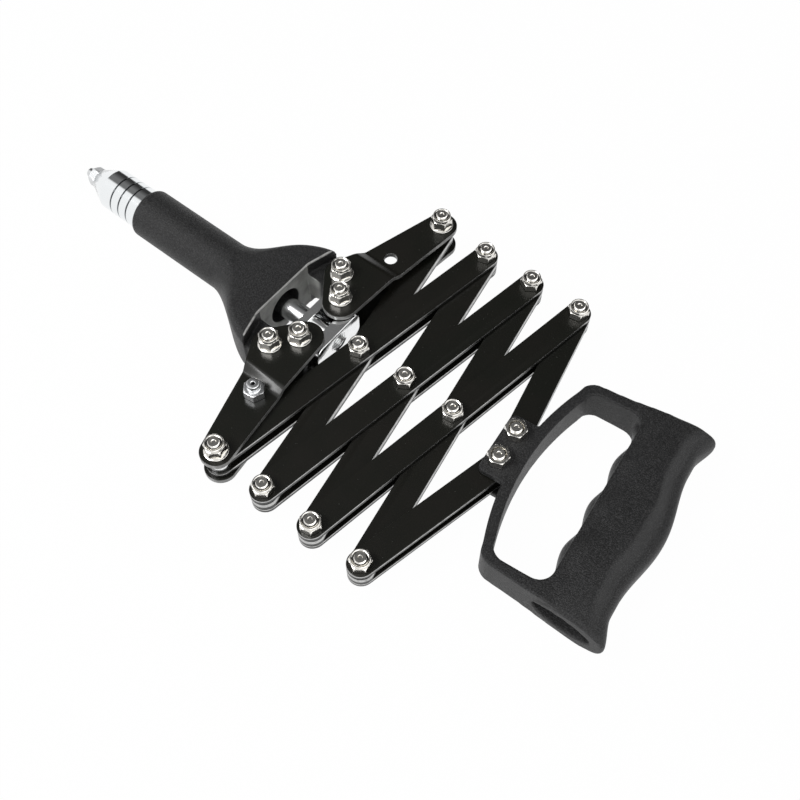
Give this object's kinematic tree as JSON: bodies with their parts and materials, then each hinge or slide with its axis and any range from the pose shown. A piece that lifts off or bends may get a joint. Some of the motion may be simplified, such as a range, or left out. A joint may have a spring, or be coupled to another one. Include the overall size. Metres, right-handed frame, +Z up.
{
  "type": "lazy tong riveter",
  "caption": "Hand riveter with a cast head and handle joined by a folding scissor of links, with a pull rod, jaws and a spare nosepiece held on one arm.",
  "frame": {"origin": "under the middle of the tool's length and width, on the plane that the head rests on", "axes": "+X from the nose to the handle, +Y to the right arm, +Z up from the bolt heads to the nuts"},
  "size_m": [0.3856, 0.1944, 0.0371],
  "materials": {
    "cast_black": "black textured powder coat on a casting",
    "bright_steel": "bright turned and plated steel",
    "machined_steel": "machined steel",
    "zinc_cast": "zinc-coloured casting and rings",
    "nickel_plate": "nickel plated",
    "black_plate": "gloss black enamel on stamped plate",
    "black_bar": "gloss black enamel on flat bar"
  },
  "bodies": {
    "head": {"head_casting": "cast_black", "nose_sleeve": "bright_steel", "nosepiece": "machined_steel"},
    "crosshead": {"crosshead": "zinc_cast", "pull_rod": "bright_steel", "rod_lock_nut": "nickel_plate", "jaw_case": "machined_steel", "jaw_spring": "machined_steel"},
    "jaw_set": {"jaw_1": "machined_steel", "jaw_2": "machined_steel", "jaw_3": "machined_steel", "jaw_pusher": "machined_steel"},
    "right_arm": {"right_arm_bottom_plate": "black_plate", "right_arm_pin_bolt": "nickel_plate", "right_arm_pivot_bolt": "nickel_plate", "right_arm_roller": "bright_steel", "right_arm_tip_bolt": "nickel_plate", "right_arm_tip_lower_spacer": "zinc_cast", "right_arm_tip_upper_spacer": "zinc_cast", "right_arm_top_plate": "black_plate"},
    "inner_link_1": {"inner_link_1": "black_bar"},
    "outer_link_1": {"outer_link_1_bottom_plate": "black_plate", "outer_link_1_middle_bolt": "nickel_plate", "outer_link_1_right_bolt": "nickel_plate", "outer_link_1_top_plate": "black_plate"},
    "left_arm": {"left_arm_bottom_plate": "black_plate", "left_arm_pin_bolt": "nickel_plate", "left_arm_pivot_bolt": "nickel_plate", "left_arm_roller": "bright_steel", "left_arm_tip_bolt": "nickel_plate", "left_arm_tip_spacer": "zinc_cast", "left_arm_top_plate": "black_plate", "spare_nosepiece": "machined_steel"},
    "outer_link_2": {"outer_link_2_bottom_plate": "black_plate", "outer_link_2_left_bolt": "nickel_plate", "outer_link_2_middle_bolt": "nickel_plate", "outer_link_2_right_bolt": "nickel_plate", "outer_link_2_top_plate": "black_plate"},
    "inner_link_2": {"inner_link_2": "black_bar"},
    "inner_link_3": {"inner_link_3": "black_bar"},
    "outer_link_3": {"outer_link_3_bottom_plate": "black_plate", "outer_link_3_left_bolt": "nickel_plate", "outer_link_3_middle_bolt": "nickel_plate", "outer_link_3_right_bolt": "nickel_plate", "outer_link_3_top_plate": "black_plate"},
    "outer_half_link": {"outer_half_link_bottom_plate": "black_plate", "outer_half_link_left_bolt": "nickel_plate", "outer_half_link_top_plate": "black_plate"},
    "inner_half_link": {"inner_half_link": "black_bar"},
    "handle": {"handle_casting": "cast_black", "handle_left_bolt": "nickel_plate", "handle_left_spacer": "zinc_cast", "handle_right_bolt": "nickel_plate", "handle_right_lower_spacer": "zinc_cast", "handle_right_upper_spacer": "zinc_cast"}
  },
  "joints": [
    {"name": "right_arm_swing", "type": "hinge", "parent": "head", "child": "right_arm", "pos_m": [-0.02595, 0.0282, 0.016], "axis": [0, 0, -1], "range_deg": [-1, 42.5]},
    {"name": "inner_link_1_swing", "type": "hinge", "parent": "right_arm", "child": "inner_link_1", "pos_m": [-0.00595, 0.08874, 0.016], "axis": [0, 0, 1], "range_deg": [-1.93, 81.69]},
    {"name": "outer_link_1_cross", "type": "hinge", "parent": "inner_link_1", "child": "outer_link_1", "pos_m": [0.00905, 0, 0.016], "axis": [0, 0, 1], "range_deg": [-78.38, 1.85]},
    {"name": "left_arm_swing", "type": "hinge", "parent": "outer_link_1", "child": "left_arm", "pos_m": [-0.00595, -0.08874, 0.016], "axis": [0, 0, 1], "range_deg": [-1.93, 81.69]},
    {"name": "outer_link_2_swing", "type": "hinge", "parent": "inner_link_1", "child": "outer_link_2", "pos_m": [0.02405, -0.08874, 0.016], "axis": [0, 0, 1], "range_deg": [-78.38, 1.85]},
    {"name": "inner_link_2_cross", "type": "hinge", "parent": "outer_link_2", "child": "inner_link_2", "pos_m": [0.03905, 0, 0.016], "axis": [0, 0, 1], "range_deg": [-1.85, 78.38]},
    {"name": "inner_link_3_swing", "type": "hinge", "parent": "outer_link_2", "child": "inner_link_3", "pos_m": [0.05405, 0.08874, 0.016], "axis": [0, 0, 1], "range_deg": [-1.85, 78.38]},
    {"name": "outer_link_3_cross", "type": "hinge", "parent": "inner_link_3", "child": "outer_link_3", "pos_m": [0.06905, 0, 0.016], "axis": [0, 0, 1], "range_deg": [-78.38, 1.85]},
    {"name": "outer_half_link_swing", "type": "hinge", "parent": "inner_link_3", "child": "outer_half_link", "pos_m": [0.08405, -0.08874, 0.016], "axis": [0, 0, 1], "range_deg": [-78.44, 1.85]},
    {"name": "inner_half_link_swing", "type": "hinge", "parent": "outer_link_3", "child": "inner_half_link", "pos_m": [0.08405, 0.08874, 0.016], "axis": [0, 0, 1], "range_deg": [-1.84, 77.91]},
    {"name": "handle_swing", "type": "hinge", "parent": "inner_half_link", "child": "handle", "pos_m": [0.10096, 0.0082, 0.016], "axis": [0, 0, 1], "range_deg": [-38.73, 0.92]},
    {"name": "crosshead_slide", "type": "slide", "parent": "head", "child": "crosshead", "axis": [1, 0, 0], "range_m": [-0.01084, 0.00026]},
    {"name": "jaw_release", "type": "slide", "parent": "crosshead", "child": "jaw_set", "axis": [1, 0, 0], "range_m": [0, 0.003], "stiffness_N_per_m": 1500, "deforming": ["jaw_spring"]}
  ],
  "couplings": [
    {"joint": "inner_link_1_swing", "follows": "right_arm_swing", "ratio": 1.922},
    {"joint": "outer_link_1_cross", "follows": "right_arm_swing", "ratio": -1.844},
    {"joint": "left_arm_swing", "follows": "right_arm_swing", "ratio": 1.922},
    {"joint": "outer_link_2_swing", "follows": "right_arm_swing", "ratio": -1.844},
    {"joint": "inner_link_2_cross", "follows": "right_arm_swing", "ratio": 1.844},
    {"joint": "inner_link_3_swing", "follows": "right_arm_swing", "ratio": 1.844},
    {"joint": "outer_link_3_cross", "follows": "right_arm_swing", "ratio": -1.844},
    {"joint": "outer_half_link_swing", "follows": "right_arm_swing", "ratio": -1.8453},
    {"joint": "inner_half_link_swing", "follows": "right_arm_swing", "ratio": 1.8329},
    {"joint": "handle_swing", "follows": "right_arm_swing", "ratio": -0.91094},
    {"joint": "crosshead_slide", "follows": "right_arm_swing", "m_per_rad": -0.0146}
  ]
}
